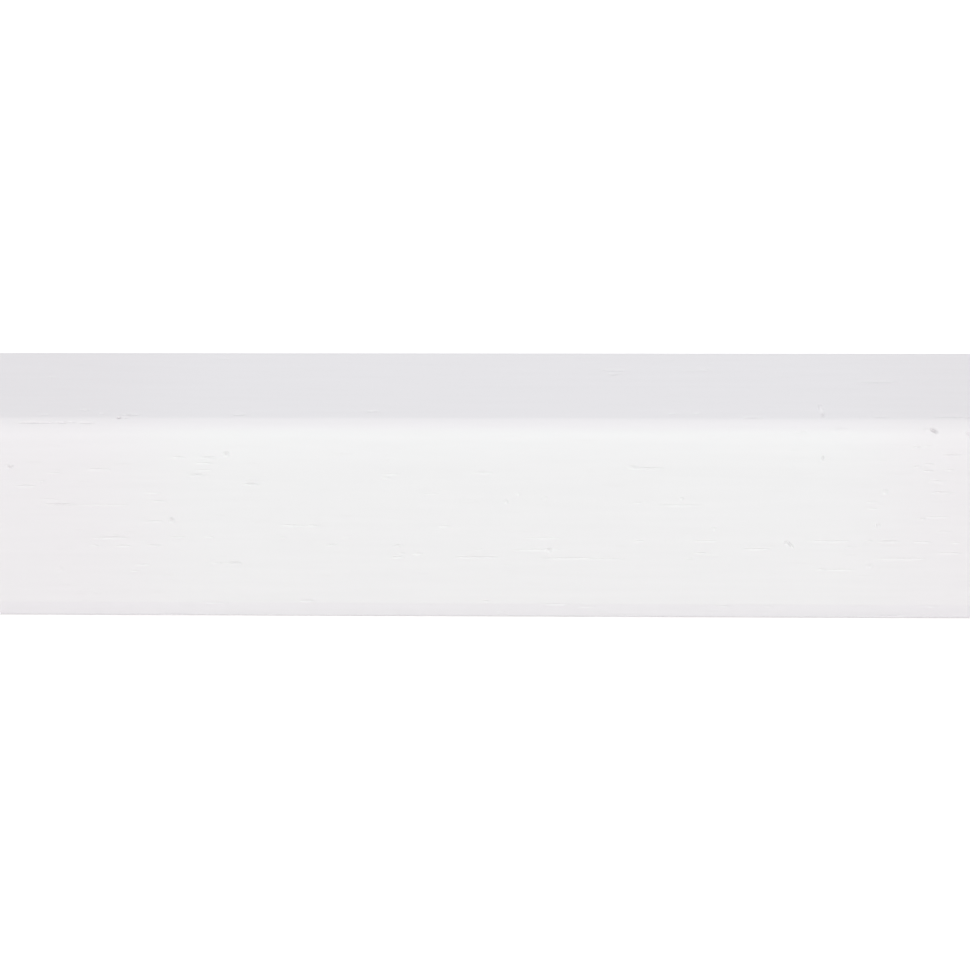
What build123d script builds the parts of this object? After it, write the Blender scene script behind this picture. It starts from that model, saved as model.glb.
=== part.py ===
from build123d import *

import math
import os

# A primed timber glazing bead, as sold by the length.
#
# The bead is one planed length of timber of constant section. It holds a pane in the rebate of a
# window or door: its back stands against the glass, its base sits on the rebate, and its other two
# faces stay in sight. The top falls a little towards the room so that water runs off it. All four
# long arrises are eased so that paint holds on them, the two on the room side the most. Both ends
# are sawn square.
#
# Frame, in millimetres: X runs along the bead, Y from the room (-Y) to the glass (+Y), and Z up.
# The origin is the middle of the base, half way along the length.

# The stock as it is bought: length of one piece, and width and height of the finished section.
BEAD_LENGTH = 2400.0
SECTION_WIDTH = 12.0
SECTION_HEIGHT = 18.0

# How steeply the top falls from the glass side to the room side, in degrees.
TOP_FALL = 5.0

# Radii of the four long arrises.
SIGHT_ARRIS_RADIUS = 1.5  # top of the room side, the edge that is seen most
FOOT_ARRIS_RADIUS = 1.5  # bottom of the room side
GLASS_ARRIS_RADIUS = 1.0  # top of the glass side, which carries the finished height
HEEL_ARRIS_RADIUS = 0.5  # bottom of the glass side, in the corner of the rebate

# The two upright faces.
ROOM_FACE = -SECTION_WIDTH / 2
GLASS_FACE = SECTION_WIDTH / 2

# Heights of the two top corners before they are eased. Easing takes the sharp corner off the glass
# side, so that corner starts a little above the finished height.
FALL_ANGLE = math.radians(TOP_FALL)
EASED_OFF = GLASS_ARRIS_RADIUS * (math.tan(FALL_ANGLE) + 1 / math.cos(FALL_ANGLE) - 1)
GLASS_CORNER_HEIGHT = SECTION_HEIGHT + EASED_OFF
SIGHT_CORNER_HEIGHT = GLASS_CORNER_HEIGHT - SECTION_WIDTH * math.tan(FALL_ANGLE)


def bead_section():
    """The section that the moulder cuts: a block with a sloping top and four eased arrises."""
    foot = (ROOM_FACE, 0)
    heel = (GLASS_FACE, 0)
    glass_top = (GLASS_FACE, GLASS_CORNER_HEIGHT)
    sight_top = (ROOM_FACE, SIGHT_CORNER_HEIGHT)
    radii = {
        foot: FOOT_ARRIS_RADIUS,
        heel: HEEL_ARRIS_RADIUS,
        glass_top: GLASS_ARRIS_RADIUS,
        sight_top: SIGHT_ARRIS_RADIUS,
    }
    section = make_face(Polyline(foot, heel, glass_top, sight_top, close=True))
    for corner, radius in radii.items():
        section = fillet(section.vertices().sort_by_distance(corner)[0], radius)
    return section


def glazing_bead():
    """One length of the section, sawn square, with its middle at the origin."""
    section = Plane.YZ * bead_section()
    return extrude(section, amount=BEAD_LENGTH / 2, both=True)


def main():
    os.makedirs("parts", exist_ok=True)
    export_step(glazing_bead(), "parts/glazing_bead.step")


main()
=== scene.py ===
"""Looks of a primed timber glazing bead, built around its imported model.

The bead is one planed length of timber with a coat of white primer. The photograph shows about 76 mm
of its length from close by, so that stretch carries the marks that can be seen there, each cut into
the mesh: short pores that the primer has not filled, nicks along the arrises, pits and nibs. The rest
of the length has the same grain in its finish.

All sizes are in metres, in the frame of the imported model: X along the bead, -Y towards the room, +Z up.
"""

import logging
import math
from dataclasses import dataclass, field
from enum import Enum

import bmesh
import bpy
import numpy as np
from mathutils import Matrix, Vector


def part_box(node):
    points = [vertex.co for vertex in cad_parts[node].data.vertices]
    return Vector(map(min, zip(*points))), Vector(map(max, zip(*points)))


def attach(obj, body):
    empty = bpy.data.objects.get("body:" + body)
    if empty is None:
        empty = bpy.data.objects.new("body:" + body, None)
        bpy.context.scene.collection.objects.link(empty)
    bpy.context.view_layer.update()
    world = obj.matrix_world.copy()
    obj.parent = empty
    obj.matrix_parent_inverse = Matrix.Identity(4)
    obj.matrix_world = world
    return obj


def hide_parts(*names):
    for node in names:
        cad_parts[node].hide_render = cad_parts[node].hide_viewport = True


Socket = bpy.types.NodeSocket

LOG = logging.getLogger("glazing_bead")
MM = 0.001
WHITE = (1.0, 1.0, 1.0, 1.0)

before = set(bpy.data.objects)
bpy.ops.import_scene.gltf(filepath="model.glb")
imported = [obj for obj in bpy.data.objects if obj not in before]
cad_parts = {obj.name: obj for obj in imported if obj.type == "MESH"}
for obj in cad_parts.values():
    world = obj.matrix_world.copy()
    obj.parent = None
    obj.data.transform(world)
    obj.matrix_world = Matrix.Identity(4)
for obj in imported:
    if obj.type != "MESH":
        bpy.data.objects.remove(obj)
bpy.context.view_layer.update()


class NodeSheet:
    """Adds nodes to a tree and joins them, so that a tree reads as a list of steps."""

    def __init__(self, tree: bpy.types.NodeTree) -> None:
        """Start on an empty tree.

        Args:
            tree: the node tree to fill.
        """
        self.tree = tree
        tree.nodes.clear()

    def add(self, kind: str, inputs: dict | None = None, **settings: object) -> bpy.types.Node:
        """Add one node.

        Args:
            kind: the node's type name.
            inputs: for each input, by name or number, a value or the socket that feeds it.
            settings: the node's own options, such as operation.

        Returns:
            The new node.
        """
        node = self.tree.nodes.new(kind)
        for name, value in settings.items():
            setattr(node, name, value)
        for key, value in (inputs or {}).items():
            if isinstance(value, Socket):
                self.tree.links.new(value, node.inputs[key])
            else:
                node.inputs[key].default_value = value
        return node

    def math(self, operation: str, *values: object) -> Socket:
        """Add a maths node.

        Args:
            operation: what it does, such as MULTIPLY.
            values: its inputs, each a number or a socket.

        Returns:
            The result's socket.
        """
        kind = "ShaderNodeMath"
        return self.add(kind, dict(enumerate(values)), operation=operation).outputs[0]

    def vector_math(self, operation: str, *values: object) -> bpy.types.Node:
        """Add a vector maths node.

        Args:
            operation: what it does, such as SUBTRACT.
            values: its inputs, each a vector or a socket.

        Returns:
            The node, because its result may be a vector or a number.
        """
        kind = "ShaderNodeVectorMath"
        return self.add(kind, dict(enumerate(values)), operation=operation)

    def ramp(self, value: object, low: float, high: float, start: float, end: float) -> Socket:
        """Map a value smoothly from one range to another and hold it at the ends.

        Args:
            value: the socket to map.
            low: the value that becomes start.
            high: the value that becomes end.
            start: the result at low.
            end: the result at high.

        Returns:
            The mapped value's socket.
        """
        inputs = {"Value": value, "From Min": low, "From Max": high, "To Min": start, "To Max": end}
        kind = "ShaderNodeMapRange"
        return self.add(kind, inputs, interpolation_type="SMOOTHSTEP").outputs["Result"]

    def blend(self, share: object, first: object, second: object) -> Socket:
        """Mix two colours.

        Args:
            share: how much of the second colour, from 0 to 1.
            first: the colour at 0.
            second: the colour at 1.

        Returns:
            The mixed colour's socket.
        """
        # Among the node's sockets, 6 and 7 are the two colours and output 2 is the mixed colour.
        node = self.add("ShaderNodeMix", {0: share, 6: first, 7: second}, data_type="RGBA")
        return node.outputs[2]


def open_group(name: str, sizes: tuple[str, ...], result: str) -> tuple:
    """Make an empty shader node group that works from a place on the skin and some sizes.

    Args:
        name: the group's name.
        sizes: the names of its sizes.
        result: the name of its result, which is a number.

    Returns:
        The group's sheet and the sockets of its inputs.
    """
    tree = bpy.data.node_groups.new(name, "ShaderNodeTree")
    tree.interface.new_socket("Place", in_out="INPUT", socket_type="NodeSocketVector")
    for size in sizes:
        tree.interface.new_socket(size, in_out="INPUT", socket_type="NodeSocketFloat")
    tree.interface.new_socket(result, in_out="OUTPUT", socket_type="NodeSocketFloat")
    sheet = NodeSheet(tree)
    return sheet, sheet.add("NodeGroupInput").outputs


@dataclass(frozen=True)
class Flat:
    """A straight run of the section's outline, with the spacing of its points."""

    length: float
    step: float

    @property
    def turn(self) -> float:
        """A flat doesn't turn."""
        return 0.0

    def advance(self, heading: float, share: float = 1.0) -> np.ndarray:
        """Find how far the run leads.

        Args:
            heading: the direction at its start, as an angle.
            share: how much of the run is walked.

        Returns:
            The way from its start, as (y, z).
        """
        return share * self.length * np.array([math.cos(heading), math.sin(heading)])


@dataclass(frozen=True)
class Bend:
    """A round run of the outline, turning left, with the spacing of its points."""

    radius: float
    turn: float
    step: float

    @property
    def length(self) -> float:
        """The arc's length."""
        return self.radius * self.turn

    def advance(self, heading: float, share: float = 1.0) -> np.ndarray:
        """Find how far the run leads.

        Args:
            heading: the direction at its start, as an angle.
            share: how much of the run is walked.

        Returns:
            The way from its start, as (y, z).
        """
        end = heading + share * self.turn
        across = math.sin(end) - math.sin(heading)
        return self.radius * np.array([across, math.cos(heading) - math.cos(end)])


@dataclass(frozen=True)
class Arris:
    """An eased edge: the runs that lead from one face of the section to the next."""

    runs: tuple[Flat | Bend, ...]

    @property
    def turn(self) -> float:
        """The angle between the two faces' directions."""
        return sum(run.turn for run in self.runs)

    def taken(self) -> tuple[float, float]:
        """Work out how much of both faces the arris takes, measured from their sharp corner.

        Returns:
            The length off the first face and the length off the second.
        """
        heading, reach = 0.0, np.zeros(2)
        for run in self.runs:
            reach = reach + run.advance(heading)
            heading += run.turn
        second = reach[1] / math.sin(heading)
        return reach[0] - second * math.cos(heading), second


@dataclass(frozen=True)
class Outline:
    """Points round the section, with the outward direction and the way walked so far at each."""

    points: np.ndarray
    outward: np.ndarray
    girth: np.ndarray

    def outward_at(self, girth: np.ndarray) -> np.ndarray:
        """Find the outward direction in the section's plane.

        Args:
            girth: the way round the section, one value for each point asked for.

        Returns:
            One (y, z) direction for each value.
        """
        sides = [np.interp(girth, self.girth, self.outward[:, k]) for k in range(2)]
        return np.stack(sides, axis=1)


@dataclass(frozen=True)
class BeadSection:
    """The moulded section: a block whose top falls to the room, with four eased arrises.

    The sight arris is cut round and then sanded by hand, which leaves a tight bend at the top and
    softer ones below it. The foot arris is planed to a narrow flat that leans in, and is rounded
    under it.
    """

    width: float
    height: float
    top_fall: float = math.radians(5)
    glass_radius: float = 1.0 * MM
    heel_radius: float = 0.5 * MM
    edge_radius: float = 0.66 * MM
    edge_turn: float = math.radians(30)
    cut_radius: float = 2.4 * MM
    sanded_radius: float = 9.0 * MM
    sanded_turn: float = math.radians(15)
    foot_bend_radius: float = 0.35 * MM
    foot_lean: float = math.radians(13)
    foot_flat: float = 1.19 * MM
    foot_radius: float = 0.37 * MM
    # Spacing of the mesh round the section, finest on the room side, which the photograph shows.
    room_step: float = 0.11 * MM
    top_step: float = 0.24 * MM
    small_arris_step: float = 0.08 * MM
    hidden_arris_step: float = 0.16 * MM
    hidden_step: float = 1.6 * MM

    def arrises(self) -> list[Arris]:
        """List the arrises, in order from the one under the glass.

        Returns:
            The heel, glass, sight and foot arrises.
        """
        quarter = math.pi / 2
        small = self.small_arris_step
        sight_turn = quarter - self.top_fall
        cut_turn = sight_turn - self.edge_turn - self.sanded_turn
        heel = Bend(self.heel_radius, quarter, self.hidden_arris_step)
        glass = Bend(self.glass_radius, quarter + self.top_fall, self.hidden_arris_step)
        sight = (
            Bend(self.edge_radius, self.edge_turn, small),
            Bend(self.cut_radius, cut_turn, self.room_step),
            Bend(self.sanded_radius, self.sanded_turn, self.room_step),
        )
        foot = (
            Bend(self.foot_bend_radius, self.foot_lean, small),
            Flat(self.foot_flat, self.room_step),
            Bend(self.foot_radius, quarter - self.foot_lean, small),
        )
        return [Arris((heel,)), Arris((glass,)), Arris(sight), Arris(foot)]

    def runs(self) -> list[Flat | Bend]:
        """List the runs of the outline, in order, from the middle of the base towards the glass.

        Returns:
            Flats and bends, which together turn once round.
        """
        fall = self.top_fall
        # Easing takes the sharp corner off the glass side, so that corner starts a little higher.
        eased_off = self.glass_radius * (math.tan(fall) + 1 / math.cos(fall) - 1)
        glass_corner = self.height + eased_off
        sight_corner = glass_corner - self.width * math.tan(fall)
        faces = [
            Flat(self.width / 2, self.hidden_step),
            Flat(glass_corner, self.hidden_step),
            Flat(self.width / math.cos(fall), self.top_step),
            Flat(sight_corner, self.room_step),
        ]
        runs, taken_before = [], 0.0
        for face, arris in zip(faces, self.arrises()):
            taken, taken_after = arris.taken()
            runs.append(Flat(face.length - taken_before - taken, face.step))
            runs.extend(arris.runs)
            taken_before = taken_after
        return runs + [Flat(self.width / 2 - taken_before, self.hidden_step)]

    def outline(self, inset: float) -> Outline:
        """Walk round the section.

        Args:
            inset: how far the outline stays inside the section all round.

        Returns:
            The outline, whose last point lies on its first.
        """
        start, heading, way = np.zeros(2), 0.0, 0.0
        points, headings, girth = [start], [heading], [way]
        for run in self.runs():
            pieces = max(1, math.ceil(run.length / run.step))
            for k in range(1, pieces + 1):
                points.append(start + run.advance(heading, k / pieces))
                headings.append(heading + run.turn * k / pieces)
                girth.append(way + run.length * k / pieces)
            start, heading, way = points[-1], headings[-1], girth[-1]
        outward = np.stack([np.sin(headings), -np.cos(headings)], axis=1)
        return Outline(np.array(points) - inset * outward, outward, np.array(girth))


@dataclass(frozen=True)
class Spot:
    """A place on the bead's skin: how far along the bead, and how far round the section."""

    along: float
    girth: float


@dataclass(frozen=True)
class PhotoCamera:
    """The camera that took the photograph, aimed at the middle of the bead's room face."""

    picture_width: int = 970
    picture_height: int = 971
    lens: float = 100.0
    sensor: float = 36.0
    azimuth: float = math.radians(-2.031)
    elevation: float = math.radians(28.1)
    roll: float = math.radians(-0.819)
    distance: float = 207.3 * MM
    aim: tuple[float, float, float] = (0.0, -6.0 * MM, 12.04 * MM)
    # Nothing nearer or farther than this is drawn.
    nearest: float = 10 * MM
    farthest: float = 100.0

    def axes(self) -> tuple[np.ndarray, np.ndarray, np.ndarray]:
        """Work out the camera's directions.

        Returns:
            Its right, up and forward directions.
        """
        level = math.cos(self.elevation)
        forward = np.array(
            [
                math.sin(self.azimuth) * level,
                math.cos(self.azimuth) * level,
                -math.sin(self.elevation),
            ]
        )
        right = np.cross(forward, (0.0, 0.0, 1.0))
        right /= np.linalg.norm(right)
        up = np.cross(right, forward)
        turned_right = math.cos(self.roll) * right + math.sin(self.roll) * up
        turned_up = math.cos(self.roll) * up - math.sin(self.roll) * right
        return turned_right, turned_up, forward

    def place(self) -> np.ndarray:
        """Where the camera stands."""
        return np.array(self.aim) - self.distance * self.axes()[2]

    def spot(self, outline: Outline, column: float, row: float) -> Spot:
        """Find what a pixel of the photograph shows.

        Every point of the section makes a straight line along the bead. In the pixel's column, those
        lines lie above each other, and the one in the pixel's row is the one that is seen.

        Args:
            outline: the section.
            column: the pixel's column.
            row: the pixel's row, counted from the top.

        Returns:
            The place on the bead's skin.
        """
        right, up, forward = self.axes()
        focal = self.lens / self.sensor * self.picture_width
        across = focal * right - (column - self.picture_width / 2) * forward
        away = outline.points - self.place()[1:]
        reach = -(away @ across[1:]) / across[0]
        depth = reach * forward[0] + away @ forward[1:]
        rows = self.picture_height / 2 - focal * (reach * up[0] + away @ up[1:]) / depth
        # The camera sees the stretch from the highest line in the picture to the lowest.
        first, last = int(np.argmin(rows)), int(np.argmax(rows))
        girth = float(np.interp(row, rows[first : last + 1], outline.girth[first : last + 1]))
        along = self.place()[0] + float(np.interp(girth, outline.girth, reach))
        return Spot(along, girth)

    def create(self) -> None:
        """Make the camera and give it to the scene."""
        data = bpy.data.cameras.new("photo_camera")
        data.lens = self.lens
        data.sensor_width = self.sensor
        data.sensor_fit = "HORIZONTAL"
        data.clip_start = self.nearest
        data.clip_end = self.farthest
        camera = bpy.data.objects.new("photo_camera", data)
        right, up, forward = self.axes()
        turn = Matrix(np.stack([right, up, -forward], axis=1).tolist())
        camera.matrix_world = Matrix.Translation(Vector(self.place())) @ turn.to_4x4()
        bpy.context.scene.collection.objects.link(camera)
        bpy.context.scene.camera = camera


class Sunk(Enum):
    """How deep an open pore is, in metres."""

    FAINT = 0.046 * MM
    CLEAR = 0.080 * MM
    DEEP = 0.108 * MM
    OPEN = 0.130 * MM


@dataclass(frozen=True)
class Trace:
    """Where a mark lies on the skin: its middle, its direction, and half its length and width."""

    middle: Spot
    direction: tuple[float, float]
    half_length: float
    half_width: float

    @classmethod
    def between(cls, first: Spot, last: Spot, width: float) -> "Trace":
        """Lay a trace from one spot to another.

        Args:
            first: the spot where it starts.
            last: the spot where it ends.
            width: how wide it is.

        Returns:
            The trace, which is never shorter than it is wide.
        """
        run = (last.along - first.along, last.girth - first.girth)
        length = math.hypot(*run)
        direction = (run[0] / length, run[1] / length) if length > 0 else (1.0, 0.0)
        middle = Spot((first.along + last.along) / 2, (first.girth + last.girth) / 2)
        return cls(middle, direction, max(length, width) / 2, width / 2)

    def place(self, along: np.ndarray, girth: np.ndarray) -> tuple[np.ndarray, np.ndarray]:
        """Place points in the trace's own frame.

        Args:
            along: how far along the bead each point is.
            girth: how far round the section each point is.

        Returns:
            How far each point is from the middle lengthwise and crosswise, where 1 is the edge.
        """
        away = (along - self.middle.along, girth - self.middle.girth)
        lengthwise = (away[0] * self.direction[0] + away[1] * self.direction[1]) / self.half_length
        crosswise = (away[1] * self.direction[0] - away[0] * self.direction[1]) / self.half_width
        return lengthwise, crosswise


class Mark:
    """A mark on the primed skin, placed by pixels of the photograph."""

    width: float
    # Whether the mark is too short along the grain for the bead's own mesh.
    small = True

    def ends(self) -> tuple[tuple[float, float], tuple[float, float]]:
        """List the pixels where it starts and ends, each as (column, row)."""
        raise NotImplementedError

    def trace(self, camera: PhotoCamera, outline: Outline) -> Trace:
        """Find the mark on the bead.

        Args:
            camera: the camera whose pixels place the mark.
            outline: the bead's section.

        Returns:
            The mark's trace on the skin.
        """
        first, last = (camera.spot(outline, *end) for end in self.ends())
        return Trace.between(first, last, self.width)

    def relief(self, lengthwise: np.ndarray, crosswise: np.ndarray) -> np.ndarray:
        """Shape the mark.

        Args:
            lengthwise: each point's place along the mark, where -1 and 1 are its ends.
            crosswise: each point's place across the mark, where -1 and 1 are its sides.

        Returns:
            The height to add at each point, negative where the mark goes in.
        """
        raise NotImplementedError


@dataclass(frozen=True)
class Pore(Mark):
    """An open pore that the primer has not filled. It runs with the grain and tapers at both ends."""

    left: float
    right: float
    row: float
    sunk: Sunk = Sunk.CLEAR
    width: float = 0.28 * MM

    small = False
    # The least share of its width that it keeps at its tips.
    tip = 1e-6

    def ends(self) -> tuple[tuple[float, float], tuple[float, float]]:
        """List the pixels where the pore starts and ends."""
        return (self.left, self.row), (self.right, self.row)

    def relief(self, lengthwise: np.ndarray, crosswise: np.ndarray) -> np.ndarray:
        """Shape the pore as a groove that tapers at both ends.

        Args:
            lengthwise: each point's place along the pore, where -1 and 1 are its ends.
            crosswise: each point's place across the pore, where -1 and 1 are its sides.

        Returns:
            The height to add at each point, which is never positive.
        """
        taper = np.sqrt(np.clip(1 - lengthwise**2, 0, 1))
        across = np.clip(np.abs(crosswise) / np.maximum(taper, self.tip), 0, 1)
        return -self.sunk.value * taper * (1 + np.cos(math.pi * across)) / 2


@dataclass(frozen=True)
class Ridge(Pore):
    """A raised fibre under the primer."""

    sunk: Sunk = Sunk.FAINT
    width: float = 0.32 * MM

    # How high it stands, as a share of the depth of such a pore.
    stands = 0.45

    def relief(self, lengthwise: np.ndarray, crosswise: np.ndarray) -> np.ndarray:
        """Shape the fibre as a pore turned outwards, as Mark.relief says."""
        return -self.stands * super().relief(lengthwise, crosswise)


class Hollow(Mark):
    """A round-bottomed mark. A negative depth makes it a raised one."""

    depth: float
    # How softly its sides run out into the skin.
    softness = 1.5

    def relief(self, lengthwise: np.ndarray, crosswise: np.ndarray) -> np.ndarray:
        """Shape the mark as a bowl, as Mark.relief says."""
        inside = np.clip(1 - lengthwise**2 - crosswise**2, 0, 1)
        return -self.depth * inside**self.softness


@dataclass(frozen=True)
class Scratch(Hollow):
    """A short nick, in any direction."""

    column: float
    row: float
    end_column: float
    end_row: float
    depth: float
    width: float

    def ends(self) -> tuple[tuple[float, float], tuple[float, float]]:
        """List the pixels where the nick starts and ends."""
        return (self.column, self.row), (self.end_column, self.end_row)


@dataclass(frozen=True)
class Dimple(Hollow):
    """A round pit. A negative depth makes it a nib, a grain of dust under the primer."""

    column: float
    row: float
    width: float
    depth: float

    def ends(self) -> tuple[tuple[float, float], tuple[float, float]]:
        """Name the pit's middle as both its start and its end."""
        return (self.column, self.row), (self.column, self.row)


def top_marks() -> list[Mark]:
    """List the marks on the sloping top.

    Returns:
        The marks, first those well up the top and then those close to the sight arris.
    """
    return [
        Pore(left=48, right=55, row=377, width=0.36 * MM),
        Pore(left=219, right=231, row=358.6, sunk=Sunk.FAINT, width=0.36 * MM),
        Pore(left=602, right=630, row=370, sunk=Sunk.OPEN, width=0.34 * MM),
        Pore(left=609, right=620, row=374, sunk=Sunk.DEEP, width=0.36 * MM),
        Pore(left=699, right=711, row=370, width=0.36 * MM),
        Pore(left=854, right=899, row=381.8, width=0.34 * MM),
        Pore(left=920, right=931, row=382, sunk=Sunk.FAINT, width=0.36 * MM),
        Pore(left=80, right=89, row=410, width=0.42 * MM),
        Pore(left=98, right=106, row=413.2, width=0.42 * MM),
        Pore(left=38, right=50, row=414.6, width=0.42 * MM),
        Pore(left=233, right=245, row=414.4, sunk=Sunk.OPEN, width=0.42 * MM),
        Pore(left=366, right=379, row=411, sunk=Sunk.DEEP, width=0.46 * MM),
        Pore(left=667, right=678, row=413.6, width=0.42 * MM),
        Pore(left=693, right=701, row=413.6, width=0.42 * MM),
        Scratch(column=820, row=404.5, end_column=820.4, end_row=412, depth=-0.14 * MM, width=0.38 * MM),
        Scratch(column=822.4, row=409.5, end_column=822.6, end_row=418, depth=0.13 * MM, width=0.36 * MM),
    ]


def sight_arris_marks() -> list[Mark]:
    """List the marks along the sight arris, the edge between the top and the room face.

    Returns:
        The marks, roughly from left to right.
    """
    return [
        Pore(left=17, right=54, row=422.6, sunk=Sunk.DEEP),
        Pore(left=55, right=67, row=422.6, sunk=Sunk.DEEP),
        Pore(left=69, right=75, row=422),
        Pore(left=79, right=94, row=422.8, sunk=Sunk.DEEP),
        Pore(left=119, right=141, row=414.8, sunk=Sunk.DEEP, width=0.36 * MM),
        Scratch(column=116, row=417.6, end_column=122, end_row=417.2, depth=0.26 * MM, width=0.34 * MM),
        Scratch(column=121, row=416.6, end_column=130, end_row=417.4, depth=0.10 * MM, width=0.34 * MM),
        Pore(left=742, right=763, row=417.6, sunk=Sunk.OPEN),
        Pore(left=869, right=891, row=417.2, sunk=Sunk.DEEP),
        Pore(left=933, right=967, row=416.4, sunk=Sunk.OPEN),
        Pore(left=960, right=978, row=417.4, sunk=Sunk.OPEN),
        Scratch(column=928.6, row=427.6, end_column=939, end_row=433.4, depth=0.22 * MM, width=0.40 * MM),
        Scratch(column=923, row=428.6, end_column=930, end_row=431.4, depth=-0.05 * MM, width=0.36 * MM),
        Pore(left=796, right=807, row=432.6, sunk=Sunk.FAINT, width=0.36 * MM),
        Scratch(column=834, row=430.4, end_column=850, end_row=430, depth=-0.06 * MM, width=0.50 * MM),
        Dimple(column=968.4, row=433.6, width=0.35 * MM, depth=0.11 * MM),
    ]


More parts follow.
